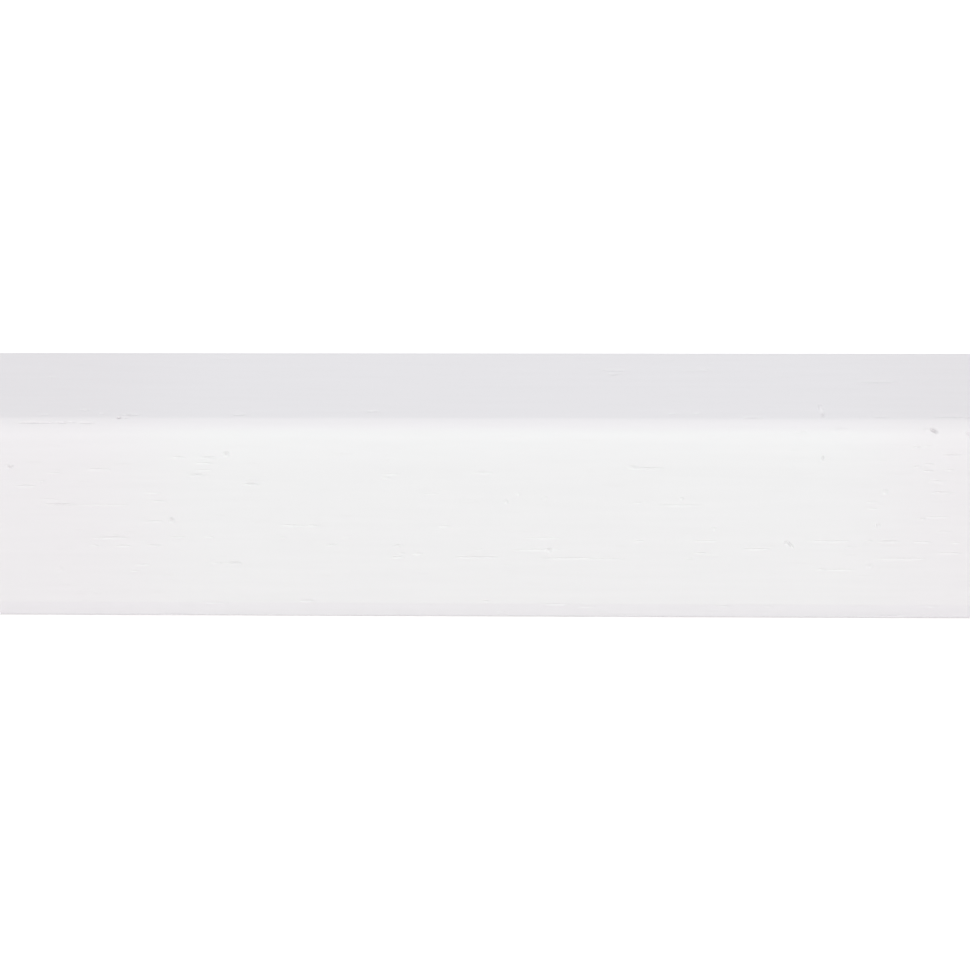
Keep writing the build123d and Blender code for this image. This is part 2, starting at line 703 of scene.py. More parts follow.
def room_face_marks() -> list[Mark]:
    """List the marks on the room face.

    Returns:
        The nicks and pits, then the pores and fibres roughly from left to right, and last the
        faintest raised marks.
    """
    return [
        Scratch(column=6.4, row=464.6, end_column=11.6, end_row=469, depth=0.13 * MM, width=0.24 * MM),
        Scratch(column=14, row=465.4, end_column=9, end_row=469, depth=0.11 * MM, width=0.24 * MM),
        Dimple(column=226, row=454.2, width=0.56 * MM, depth=0.14 * MM),
        Dimple(column=171.5, row=520.4, width=0.58 * MM, depth=0.15 * MM),
        Scratch(column=785.8, row=540.6, end_column=793.8, end_row=548.8, depth=0.15 * MM, width=0.24 * MM),
        Scratch(column=787.4, row=540.8, end_column=783, end_row=544.8, depth=0.12 * MM, width=0.24 * MM),
        Scratch(column=823, row=455, end_column=822.6, end_row=461, depth=0.14 * MM, width=0.22 * MM),
        Dimple(column=821.4, row=461.8, width=0.36 * MM, depth=-0.018 * MM),
        Dimple(column=549, row=550.5, width=0.55 * MM, depth=0.108 * MM),
        Dimple(column=885, row=492, width=0.55 * MM, depth=0.09 * MM),
        Dimple(column=870, row=566, width=0.60 * MM, depth=0.09 * MM),
        Dimple(column=506, row=502, width=0.45 * MM, depth=0.09 * MM),
        Dimple(column=545, row=498.5, width=0.40 * MM, depth=0.054 * MM),
        Dimple(column=518, row=494, width=0.40 * MM, depth=0.054 * MM),
        Dimple(column=60, row=570, width=0.80 * MM, depth=0.054 * MM),
        Scratch(column=876, row=523, end_column=876, end_row=529, depth=0.08 * MM, width=0.2 * MM),
        Scratch(column=879, row=523, end_column=879, end_row=529, depth=0.064 * MM, width=0.2 * MM),
        Dimple(column=714, row=529, width=0.35 * MM, depth=0.09 * MM),
        Dimple(column=682, row=498.5, width=0.35 * MM, depth=0.09 * MM),
        Pore(left=172, right=185, row=457.6),
        Pore(left=200, right=216, row=457.8, sunk=Sunk.DEEP),
        Pore(left=196, right=212, row=463.4),
        Pore(left=196, right=212, row=470.4, sunk=Sunk.FAINT),
        Pore(left=187, right=205, row=475, sunk=Sunk.OPEN),
        Pore(left=87, right=110, row=469.6, width=0.36 * MM),
        Pore(left=15, right=36, row=486.4, width=0.36 * MM),
        Pore(left=39, right=45, row=481.6),
        Pore(left=48, right=62, row=473.4, sunk=Sunk.FAINT),
        Pore(left=243, right=259, row=484.2, sunk=Sunk.OPEN),
        Pore(left=44, right=76, row=504.6, sunk=Sunk.OPEN),
        Pore(left=40, right=60, row=499.6, sunk=Sunk.FAINT),
        Pore(left=76, right=128, row=505, sunk=Sunk.FAINT),
        Pore(left=152, right=166, row=501.6, sunk=Sunk.FAINT, width=0.36 * MM),
        Pore(left=146, right=160, row=493, sunk=Sunk.FAINT),
        Pore(left=143, right=164, row=521.6, sunk=Sunk.FAINT),
        Pore(left=94, right=129, row=538, width=0.36 * MM),
        Pore(left=108, right=118, row=535, sunk=Sunk.FAINT),
        Pore(left=91, right=98, row=545.8),
        Pore(left=116, right=131, row=546),
        Pore(left=147, right=161, row=545.2, sunk=Sunk.DEEP),
        Pore(left=171, right=185, row=537.4, sunk=Sunk.FAINT),
        Pore(left=206, right=213, row=537.6),
        Pore(left=278, right=286, row=537.6, sunk=Sunk.FAINT),
        Pore(left=279, right=305, row=525.8),
        Pore(left=307, right=317, row=525.8),
        Pore(left=211, right=222, row=563, sunk=Sunk.DEEP),
        Pore(left=227, right=242, row=563, sunk=Sunk.OPEN),
        Pore(left=135, right=150, row=564.8),
        Pore(left=131, right=138, row=571, sunk=Sunk.FAINT),
        Ridge(left=94, right=101, row=593),
        Pore(left=471, right=493, row=473),
        Ridge(left=382, right=391, row=459),
        Pore(left=382, right=400, row=474.4, sunk=Sunk.FAINT),
        Pore(left=382, right=390, row=478, sunk=Sunk.FAINT),
        Pore(left=423, right=438, row=494, sunk=Sunk.FAINT),
        Ridge(left=462, right=480, row=501.6),
        Pore(left=439, right=450, row=526.6),
        Pore(left=327, right=337, row=545, sunk=Sunk.DEEP),
        Pore(left=342, right=351, row=538, sunk=Sunk.FAINT),
        Pore(left=394, right=400, row=545.8, sunk=Sunk.DEEP),
        Pore(left=391, right=404, row=557.6),
        Pore(left=398, right=404, row=553.6, sunk=Sunk.FAINT),
        Pore(left=413, right=422, row=554),
        Pore(left=455, right=500, row=557.4, sunk=Sunk.DEEP),
        Pore(left=474, right=484, row=549.6, sunk=Sunk.FAINT),
        Pore(left=538, right=596, row=558.6),
        Pore(left=590, right=626, row=559.4, sunk=Sunk.FAINT),
        Pore(left=524, right=562, row=538, sunk=Sunk.FAINT),
        Pore(left=512, right=562, row=550, sunk=Sunk.FAINT),
        Ridge(left=541, right=549, row=498.4),
        Pore(left=627, right=664, row=468.6, sunk=Sunk.DEEP),
        Pore(left=627, right=637, row=467, sunk=Sunk.DEEP),
        Pore(left=634, right=644, row=503, sunk=Sunk.DEEP),
        Pore(left=634, right=644, row=541.4),
        Pore(left=656, right=704, row=505.6, sunk=Sunk.FAINT, width=0.36 * MM),
        Pore(left=695, right=717, row=541.4),
        Pore(left=695, right=706, row=553.4),
        Ridge(left=700, right=722, row=556),
        Pore(left=686, right=692, row=559, sunk=Sunk.FAINT),
        Pore(left=743, right=770, row=549.4),
        Pore(left=807, right=850, row=541.4),
        Pore(left=846, right=852, row=547),
        Pore(left=866, right=872, row=541),
        Pore(left=878, right=899, row=541.8, sunk=Sunk.DEEP),
        Pore(left=914, right=930, row=542.4),
        Pore(left=952, right=959, row=543.2),
        Pore(left=875, right=926, row=559),
        Pore(left=939, right=961, row=553.4),
        Pore(left=943, right=961, row=455.2, sunk=Sunk.DEEP),
        Pore(left=913, right=920, row=447.4),
        Pore(left=924, right=932, row=446.4, sunk=Sunk.FAINT),
        Pore(left=914, right=920, row=466.8, sunk=Sunk.DEEP),
        Pore(left=926, right=933, row=464.4, sunk=Sunk.DEEP),
        Pore(left=923, right=933, row=471, sunk=Sunk.DEEP),
        Pore(left=947, right=953, row=470.2),
        Pore(left=932, right=942, row=481.4, sunk=Sunk.DEEP),
        Ridge(left=934, right=942, row=484.4),
        Pore(left=930, right=953, row=492.8, sunk=Sunk.DEEP),
        Pore(left=866, right=878, row=502.4, sunk=Sunk.FAINT, width=0.36 * MM),
        Pore(left=866, right=878, row=509, sunk=Sunk.FAINT),
        Pore(left=919, right=925, row=519, sunk=Sunk.DEEP),
        Pore(left=924, right=950, row=517.4, sunk=Sunk.FAINT),
        Pore(left=936, right=950, row=532, sunk=Sunk.FAINT, width=0.36 * MM),
        Pore(left=817, right=826, row=569.8),
        Pore(left=826, right=855, row=570, sunk=Sunk.FAINT),
        Scratch(column=578, row=569, end_column=586, end_row=590, depth=-0.018 * MM, width=0.55 * MM),
        Dimple(column=428, row=486, width=0.60 * MM, depth=-0.018 * MM),
        Dimple(column=708, row=599, width=0.60 * MM, depth=-0.018 * MM),
    ]


def foot_marks() -> list[Mark]:
    """List the marks along the foot arris, the lower edge of the room face.

    Returns:
        The marks, first the lowest ones and then those higher up the arris.
    """
    return [
        Pore(left=34, right=48, row=614.2),
        Pore(left=158, right=190, row=614.4, sunk=Sunk.DEEP),
        Pore(left=498, right=508, row=615.2, sunk=Sunk.FAINT),
        Pore(left=592, right=650, row=615.6, sunk=Sunk.FAINT),
        Pore(left=872, right=902, row=616.4, sunk=Sunk.DEEP),
        Pore(left=205, right=228, row=603, sunk=Sunk.DEEP),
        Pore(left=299, right=313, row=601, sunk=Sunk.DEEP, width=0.36 * MM),
        Pore(left=482, right=490, row=601.6),
        Pore(left=543, right=569, row=604.6, sunk=Sunk.DEEP),
        Pore(left=577, right=596, row=607),
        Ridge(left=588, right=608, row=611),
        Pore(left=497, right=505, row=612),
        Pore(left=717, right=730, row=606.4, sunk=Sunk.FAINT),
        Pore(left=765, right=773, row=606.8, sunk=Sunk.FAINT),
        Pore(left=923, right=937, row=606.8),
    ]


@dataclass(frozen=True)
class SawnEnd:
    """Bare timber on a sawn end, with the primer running a little way over its rim."""

    timber: tuple = (0.520, 0.335, 0.235, 1.0)
    late_timber: tuple = (0.445, 0.272, 0.185, 1.0)
    timber_pore: tuple = (0.215, 0.118, 0.075, 1.0)
    roughness: float = 0.78
    # Where the heart of the tree was, how far apart its rings are, and how much they waver.
    heart: tuple = (0.0, 42 * MM, -30 * MM)
    ring_spacing: float = 2.6 * MM
    ring_waver: float = 2.5
    wavers_per_metre: float = 180.0
    vessel_size: float = 0.55 * MM
    vessel_edge: tuple[float, float] = (0.16, 0.26)
    # The saw blade's middle, and the marks of its teeth.
    blade_middle: tuple = (0.0, 0.0, 160 * MM)
    kerf_pitch: float = 0.45 * MM
    kerf_height: float = 0.03 * MM
    # How far the primer runs over the rim, unevenly, and the drops that it leaves inside.
    run_over: float = 1.6 * MM
    # The share of it that is taken off again, where the primer is still whole and where it ends.
    run_edge: tuple[float, float] = (1 / 3, 1 / 5)
    lumps_per_metre: float = 700.0
    drop_spacing: float = 0.9 * MM
    drop_edge: tuple[float, float] = (0.10, 0.16)
    drop_share: float = 0.3
    drop_cover: float = 0.8

    def from_axis(self, sheet: NodeSheet, place: Socket, axis: tuple) -> Socket:
        """Measure how far a point is from a line along the bead.

        Args:
            sheet: the material's sheet.
            place: the object coordinates.
            axis: a point on the line.

        Returns:
            The distance.
        """
        away = sheet.vector_math("SUBTRACT", place, axis).outputs[0]
        flat = sheet.vector_math("MULTIPLY", away, (0.0, 1.0, 1.0)).outputs[0]
        return sheet.vector_math("LENGTH", flat).outputs["Value"]

    def grain(self, sheet: NodeSheet, place: Socket) -> Socket:
        """Draw the growth rings and the open vessels.

        Args:
            sheet: the material's sheet.
            place: the object coordinates.

        Returns:
            The timber's colour.
        """
        wavy = sheet.add(
            "ShaderNodeTexNoise", {"Vector": place, "Scale": self.wavers_per_metre, "Detail": 2.0}
        ).outputs["Fac"]
        distance = self.from_axis(sheet, place, self.heart)
        phase = sheet.math("MULTIPLY", distance, 2 * math.pi / self.ring_spacing)
        phase = sheet.math("MULTIPLY_ADD", wavy, self.ring_waver, phase)
        rings = sheet.ramp(sheet.math("SINE", phase), -1.0, 1.0, 0.0, 1.0)
        vessels = sheet.add(
            "ShaderNodeTexVoronoi", {"Vector": place, "Scale": 1 / self.vessel_size}
        ).outputs["Distance"]
        vessel = sheet.ramp(vessels, *self.vessel_edge, 1.0, 0.0)
        colour = sheet.blend(rings, self.timber, self.late_timber)
        return sheet.blend(vessel, colour, self.timber_pore)

    def saw_marks(self, sheet: NodeSheet, place: Socket) -> Socket:
        """Draw the arcs that the saw's teeth leave.

        Args:
            sheet: the material's sheet.
            place: the object coordinates.

        Returns:
            Their height.
        """
        swing = self.from_axis(sheet, place, self.blade_middle)
        saw = sheet.math("SINE", sheet.math("MULTIPLY", swing, 2 * math.pi / self.kerf_pitch))
        return sheet.math("MULTIPLY", saw, self.kerf_height)

    def bare(self, sheet: NodeSheet, place: Socket, section: BeadSection) -> Socket:
        """Let the primer run over the rim, and leave a few drops of it further in.

        Args:
            sheet: the material's sheet.
            place: the object coordinates.
            section: the bead's section.

        Returns:
            The share of the end that is bare timber, from 0 to 1.
        """
        parts = sheet.add("ShaderNodeSeparateXYZ", {0: place}).outputs
        sideways = sheet.math("SUBTRACT", section.width / 2, sheet.math("ABSOLUTE", parts["Y"]))
        from_middle = sheet.math("ABSOLUTE", sheet.math("SUBTRACT", parts["Z"], section.height / 2))
        upright = sheet.math("SUBTRACT", section.height / 2, from_middle)
        inside = sheet.math("MINIMUM", sideways, upright)
        lumps = sheet.add(
            "ShaderNodeTexNoise", {"Vector": place, "Scale": self.lumps_per_metre, "Detail": 3.0}
        ).outputs["Fac"]
        ragged = sheet.math("MULTIPLY_ADD", lumps, -self.run_over, inside)
        covered, open_from = (-share * self.run_over for share in self.run_edge)
        clear = sheet.ramp(ragged, covered, open_from, 0.0, 1.0)
        drops = sheet.add(
            "ShaderNodeTexVoronoi", {"Vector": place, "Scale": 1 / self.drop_spacing}
        ).outputs
        chance = sheet.add("ShaderNodeSeparateXYZ", {0: drops["Color"]}).outputs["X"]
        drop = sheet.ramp(drops["Distance"], *self.drop_edge, self.drop_cover, 0.0)
        drop = sheet.math("MULTIPLY", drop, sheet.math("LESS_THAN", chance, self.drop_share))
        return sheet.math("MULTIPLY", clear, sheet.math("SUBTRACT", 1.0, drop))


@dataclass(frozen=True)
class PrimedTimber:
    """White primer over open-pored timber, with bare timber showing on the sawn ends."""

    primer: tuple = (0.875, 0.885, 0.879, 1.0)
    # Painted light: the primer tinted cooler where the sky lights the top.
    sky_lit_top_primer: tuple = (0.880, 0.874, 0.882, 1.0)
    rosy_primer: tuple = (0.860, 0.847, 0.855, 1.0)
    # Painted shade: a darker copy of the primer towards the base.
    low_shade_primer: tuple = (0.836, 0.829, 0.834, 1.0)
    # Painted shade on the foot arris.
    foot_shade_primer: tuple = (0.841, 0.829, 0.858, 1.0)
    # Painted shade: the grey that the hollows of the deeper marks and of the fine pores are darkened
    # towards.
    hollow_shade_colour: tuple = (0.640, 0.620, 0.632, 1.0)
    roughness: float = 0.53
    # The primer's tint drifts along the bead, and is neutral near the middle of the photograph.
    tint_length: float = 95 * MM
    tint_middle: float = 2.5 * MM
    rosy_edge: tuple[float, float] = (-0.75, 0.1)
    # Painted light: the top is tinted cooler, as the bluish sky lights it most, from this height up.
    top_tint_height: float = 16.5 * MM
    top_tint_blur: float = 0.3 * MM
    # Painted shade: the primer is darkened low down, more the nearer it is to the base.
    low_shade_height: float = 16 * MM
    low_shade_share: float = 0.5
    # Painted shade: the foot arris faces down, so it is darkened, from this height down.
    foot_height: float = 1.5 * MM
    foot_blur: float = 0.2 * MM
    foot_shade_share: float = 0.5
    # Fine pores that the primer nearly fills, one in each cell of this size.
    cell_length: float = 7.0 * MM
    cell_width: float = 0.9 * MM
    pore_length: float = 2.2 * MM
    pore_width: float = 0.26 * MM
    pore_depth: float = 0.030 * MM
    pore_share: float = 0.55
    # How far the fine pores are darkened towards that grey, as painted shade.
    pore_hollow_shade: float = 0.10
    # How much of these pores is left where the mesh has pores of its own, and how that begins.
    pores_left: float = 0.40
    pores_blur: float = 3 * MM
    fibre_length: float = 11.0 * MM
    fibre_width: float = 0.55 * MM
    fibre_height: float = 0.005 * MM
    # How much lighter the primer is over a raised fibre than between two.
    fibre_tone: float = 0.028
    # The fine orange peel of sprayed primer, and how much it changes the roughness.
    peel_size: float = 0.22 * MM
    peel_height: float = 0.0012 * MM
    peel_sheen: float = 0.08
    cutter_pitch: float = 1.7 * MM
    cutter_height: float = 0.0006 * MM
    # A sawn end starts and is fully there this far from the end of the bead.
    end_edge: tuple[float, float] = (0.12 * MM, 0.05 * MM)
    end: SawnEnd = field(default_factory=SawnEnd)

    def material(self, section: BeadSection, half_length: float, window: float) -> bpy.types.Material:
        """Make the material.

        Args:
            section: the bead's section.
            half_length: from the middle of the bead to either sawn end.
            window: from the middle of the bead to where the marks cut into the mesh stop.

        Returns:
            The finished material.
        """
        material = bpy.data.materials.new("primed_timber")
        material.use_nodes = True
        sheet = NodeSheet(material.node_tree)
        skin = sheet.add("ShaderNodeUVMap", uv_map="stock").outputs["UV"]
        place = sheet.add("ShaderNodeTexCoord").outputs["Object"]
        parts = sheet.add("ShaderNodeSeparateXYZ", {0: place}).outputs
        reach = sheet.math("ABSOLUTE", parts["X"])

        blur = self.pores_blur
        left = sheet.ramp(reach, window - blur, window + blur, self.pores_left, 1.0)
        pore = sheet.math("MULTIPLY", self.pores(sheet, skin), left)
        fibre = self.fibres(sheet, skin)
        peel = sheet.add(
            "ShaderNodeTexNoise", {"Vector": place, "Scale": 1 / self.peel_size, "Detail": 2.0}
        ).outputs["Fac"]
        start, full = self.end_edge
        at_end = sheet.ramp(reach, half_length - start, half_length - full, 0.0, 1.0)
        bare = sheet.math("MULTIPLY", at_end, self.end.bare(sheet, place, section))

        turns = 2 * math.pi / self.cutter_pitch
        cutter = sheet.math("SINE", sheet.math("MULTIPLY", parts["X"], turns))
        height = sheet.math("MULTIPLY", pore, -self.pore_depth)
        height = sheet.math("MULTIPLY_ADD", fibre, self.fibre_height, height)
        height = sheet.math("MULTIPLY_ADD", peel, self.peel_height, height)
        height = sheet.math("MULTIPLY_ADD", cutter, self.cutter_height, height)
        saw = sheet.math("MULTIPLY", self.end.saw_marks(sheet, place), at_end)
        height = sheet.math("ADD", height, saw)
        bump = sheet.add("ShaderNodeBump", {"Height": height, "Distance": 1.0}).outputs["Normal"]

        coat = self.coat(sheet, parts["X"], parts["Z"])
        tone = sheet.math("MULTIPLY_ADD", fibre, self.fibre_tone, 1 - self.fibre_tone / 2)
        coat = sheet.vector_math("MULTIPLY", coat, tone).outputs[0]
        # Painted shade in the hollows: the deeper marks and the fine pores are darkened towards a grey.
        mark_hollow_shade = sheet.add("ShaderNodeAttribute", attribute_name="painted_mark_shade").outputs["Fac"]
        hollow_shade = sheet.math("MAXIMUM", mark_hollow_shade, sheet.math("MULTIPLY", pore, self.pore_hollow_shade))
        coat = sheet.blend(hollow_shade, coat, self.hollow_shade_colour)
        colour = sheet.blend(bare, coat, self.end.grain(sheet, place))
        roughness = sheet.ramp(bare, 0.0, 1.0, self.roughness, self.end.roughness)
        roughness = sheet.math("SUBTRACT", roughness, self.peel_sheen / 2)
        roughness = sheet.math("MULTIPLY_ADD", peel, self.peel_sheen, roughness)

        shader = sheet.add(
            "ShaderNodeBsdfPrincipled",
            {"Base Color": colour, "Roughness": roughness, "Normal": bump},
        )
        sheet.add("ShaderNodeOutputMaterial", {"Surface": shader.outputs[0]})
        return material

    def pores(self, sheet: NodeSheet, skin: Socket) -> Socket:
        """Scatter the fine pores over the skin.

        Args:
            sheet: the material's sheet.
            skin: the place on the skin.

        Returns:
            The pores' mask.
        """
        sizes = {
            "Place": skin,
            "Cell Length": self.cell_length,
            "Cell Width": self.cell_width,
            "Pore Length": self.pore_length,
            "Pore Width": self.pore_width,
            "Share": self.pore_share,
        }
        return sheet.add("ShaderNodeGroup", sizes, node_tree=pore_group()).outputs["Pore"]

    def fibres(self, sheet: NodeSheet, skin: Socket) -> Socket:
        """Lay fine fibres along the grain.

        Args:
            sheet: the material's sheet.
            skin: the place on the skin.

        Returns:
            How far each fibre stands up, from 0 to 1.
        """
        sizes = {"Place": skin, "Length": self.fibre_length, "Width": self.fibre_width}
        return sheet.add("ShaderNodeGroup", sizes, node_tree=fibre_group()).outputs["Fibre"]

    def coat(self, sheet: NodeSheet, along: Socket, height: Socket) -> Socket:
        """Tint the primer, which drifts a little along the bead, with painted cooler light on the top and
        painted shade low on the room face and on the foot.

        Args:
            sheet: the material's sheet.
            along: how far along the bead.
            height: how high above the base.

        Returns:
            The primer's colour.
        """
        from_neutral = sheet.math("SUBTRACT", along, self.tint_middle)
        phase = sheet.math("MULTIPLY", from_neutral, 2 * math.pi / self.tint_length)
        rosy = sheet.ramp(sheet.math("COSINE", phase), *self.rosy_edge, 1.0, 0.0)
        # Painted light: a cooler tint on the top.
        top_tint_edge = (self.top_tint_height - self.top_tint_blur, self.top_tint_height + self.top_tint_blur)
        upper = sheet.ramp(height, *top_tint_edge, 0.0, 1.0)
        coat = sheet.blend(upper, self.primer, self.sky_lit_top_primer)
        coat = sheet.blend(rosy, coat, self.rosy_primer)
        # Painted shade: darker towards the base.
        low = sheet.math("DIVIDE", height, self.low_shade_height)
        low_shade = sheet.math("MULTIPLY", sheet.math("SUBTRACT", 1.0, low), self.low_shade_share)
        coat = sheet.blend(low_shade, coat, self.low_shade_primer)
        # Painted shade on the foot arris, which faces down.
        foot_edge = (self.foot_height - self.foot_blur, self.foot_height + self.foot_blur)
        foot = sheet.ramp(height, *foot_edge, self.foot_shade_share, 0.0)
        return sheet.blend(foot, coat, self.foot_shade_primer)


def pore_group() -> bpy.types.NodeTree:
    """Make the effect that scatters short pores along the grain, one to a cell.

    Returns:
        The node group. Its output is 1 in the middle of a pore and 0 outside.
    """
    sizes = ("Cell Length", "Cell Width", "Pore Length", "Pore Width", "Share")
    sheet, start = open_group("timber_pores", sizes, "Pore")
    cell, pore = (
        sheet.add(
            "ShaderNodeCombineXYZ", {0: start[f"{item} Length"], 1: start[f"{item} Width"], 2: 1.0}
        ).outputs[0]
        for item in ("Cell", "Pore")
    )
    here = sheet.vector_math("DIVIDE", start["Place"], cell).outputs[0]
    cells = sheet.add(
        "ShaderNodeTexVoronoi", {"Vector": here, "Scale": 1.0}, voronoi_dimensions="2D"
    ).outputs
    away = sheet.vector_math("SUBTRACT", here, cells["Position"]).outputs[0]
    away = sheet.vector_math("MULTIPLY", away, cell).outputs[0]
    away = sheet.vector_math("DIVIDE", away, pore).outputs[0]
    # A pore's own length and width reach half of this from its middle.
    reach = sheet.math("MULTIPLY", sheet.vector_math("LENGTH", away).outputs["Value"], 2.0)
    chance = sheet.add("ShaderNodeSeparateXYZ", {0: cells["Color"]}).outputs
    # Each pore has a size and a depth of its own, between the two values named here.
    smallness, deepness = (0.6, 1.5), (0.25, 1.0)
    span = smallness[1] - smallness[0]
    smaller = sheet.math("MULTIPLY_ADD", chance["Z"], span, smallness[0])
    inside = sheet.ramp(sheet.math("MULTIPLY", reach, smaller), 0.0, 1.0, 1.0, 0.0)
    there = sheet.math("LESS_THAN", chance["X"], start["Share"])
    span = deepness[1] - deepness[0]
    deep = sheet.math("MULTIPLY_ADD", chance["Y"], span, deepness[0])
    result = sheet.math("MULTIPLY", inside, sheet.math("MULTIPLY", there, deep))
    sheet.add("NodeGroupOutput", {"Pore": result})
    return sheet.tree


def fibre_group() -> bpy.types.NodeTree:
    """Make the effect of fibres that stand up a little under the primer.

    Returns:
        The node group. Its output runs from 0 to 1.
    """
    sheet, start = open_group("raised_fibres", ("Length", "Width"), "Fibre")
    size = sheet.add("ShaderNodeCombineXYZ", {0: start["Length"], 1: start["Width"], 2: 1.0})
    here = sheet.vector_math("DIVIDE", start["Place"], size.outputs[0]).outputs[0]
    noise = sheet.add(
        "ShaderNodeTexNoise",
        {"Vector": here, "Scale": 1.0, "Detail": 3.0, "Roughness": 0.55},
        noise_dimensions="2D",
    )
    sheet.add("NodeGroupOutput", {"Fibre": noise.outputs["Fac"]})
    return sheet.tree


@dataclass(frozen=True)
class Paper:
    """Smooth pale paper on the studio's floor, which the camera sees as white."""

    colour: tuple = (0.930, 0.920, 0.910, 1.0)
    roughness: float = 0.9
    # The tooth of the paper: how fine it is, and how much darker it is between its fibres.
    tooth_per_metre: float = 900.0
    tooth_shade: float = 0.985
    # Added for what the camera and reflections see, so that only the deepest shadow shows.
    lift: float = 0.39

    def material(self) -> bpy.types.Material:
        """Make the material.

        Returns:
            The finished material.
        """
        material = bpy.data.materials.new("studio_paper")
        material.use_nodes = True
        sheet = NodeSheet(material.node_tree)
        place = sheet.add("ShaderNodeTexCoord").outputs["Object"]
        tooth = sheet.add(
            "ShaderNodeTexNoise", {"Vector": place, "Scale": self.tooth_per_metre, "Detail": 2.0}
        ).outputs["Fac"]
        darker = tuple(self.tooth_shade * part for part in self.colour[:3]) + (1.0,)
        colour = sheet.blend(tooth, darker, self.colour)
        seen = background_rays(sheet)
        shader = sheet.add(
            "ShaderNodeBsdfPrincipled",
            {
                "Base Color": colour,
                "Roughness": self.roughness,
                "Specular IOR Level": 0.0,
                "Emission Color": WHITE,
                "Emission Strength": sheet.math("MULTIPLY", seen, self.lift),
            },
        )
        sheet.add("ShaderNodeOutputMaterial", {"Surface": shader.outputs[0]})
        return material


def background_rays(sheet: NodeSheet) -> Socket:
    """Tell the rays that look at the background from those that carry light.

    Args:
        sheet: the sheet of the material or world.

    Returns:
        A value of 1 for rays from the camera, a reflection or glass, and 0 for others.
    """
    path = sheet.add("ShaderNodeLightPath").outputs
    mirrored = sheet.math("MAXIMUM", path["Is Glossy Ray"], path["Is Transmission Ray"])
    return sheet.math("MAXIMUM", path["Is Camera Ray"], mirrored)


@dataclass
class Studio:
    """A plain pale floor and soft light: one broad key from above the camera, and an even sky."""

    floor_size: float = 120.0
    key_strength: float = 1.13
    key_height: float = math.radians(27)
    key_side: float = math.radians(6)
    key_spread: float = math.radians(42)
    key_colour: tuple = (1.0, 0.985, 0.965)
    sky_colour: tuple = (0.985, 0.985, 1.02, 1.0)
    sky_strength: float = 0.715
    # How much the sky gains towards the bright backdrop behind the bead, and loses in front.
    sky_tilt: float = 0.24
    paper: Paper = field(default_factory=Paper)

    def floor(self) -> None:
        """Lay the floor under the bead."""
        half = self.floor_size / 2
        corners = [(-half, -half, 0.0), (half, -half, 0.0), (half, half, 0.0), (-half, half, 0.0)]
        mesh = bpy.data.meshes.new("studio_floor")
        mesh.from_pydata(corners, [], [(0, 1, 2, 3)])
        mesh.materials.append(self.paper.material())
        floor = bpy.data.objects.new("studio_floor", mesh)
        bpy.context.scene.collection.objects.link(floor)

    def key(self) -> None:
        """Hang the key light, broad enough for soft shadows."""
        data = bpy.data.lights.new("key_light", "SUN")
        data.energy = self.key_strength
        data.angle = self.key_spread
        data.color = self.key_colour
        lamp = bpy.data.objects.new("key_light", data)
        level = math.cos(self.key_height)
        towards = Vector(
            (
                math.sin(self.key_side) * level,
                -math.cos(self.key_side) * level,
                math.sin(self.key_height),
            )
        )
        lamp.rotation_euler = towards.to_track_quat("Z", "Y").to_euler()
        bpy.context.scene.collection.objects.link(lamp)

    def sky(self) -> None:
        """Make the even light from all round, which the camera sees as white."""
        world = bpy.data.worlds.new("studio_sky")
        world.use_nodes = True
        sheet = NodeSheet(world.node_tree)
        seen = background_rays(sheet)
        colour = sheet.blend(seen, self.sky_colour, WHITE)
        direction = sheet.add("ShaderNodeTexCoord").outputs["Generated"]
        backwards = sheet.add("ShaderNodeSeparateXYZ", {0: direction}).outputs["Y"]
        light = sheet.math("MULTIPLY_ADD", backwards, self.sky_tilt, self.sky_strength)
        unseen = sheet.math("SUBTRACT", 1.0, seen)
        strength = sheet.math("MULTIPLY_ADD", unseen, light, seen)
        background = sheet.add("ShaderNodeBackground", {"Color": colour, "Strength": strength})
        sheet.add("ShaderNodeOutputWorld", {"Surface": background.outputs[0]})
        bpy.context.scene.world = world

    def build(self) -> None:
        """Set up the floor, the lamp and the sky."""
        self.floor()
        self.key()
        self.sky()


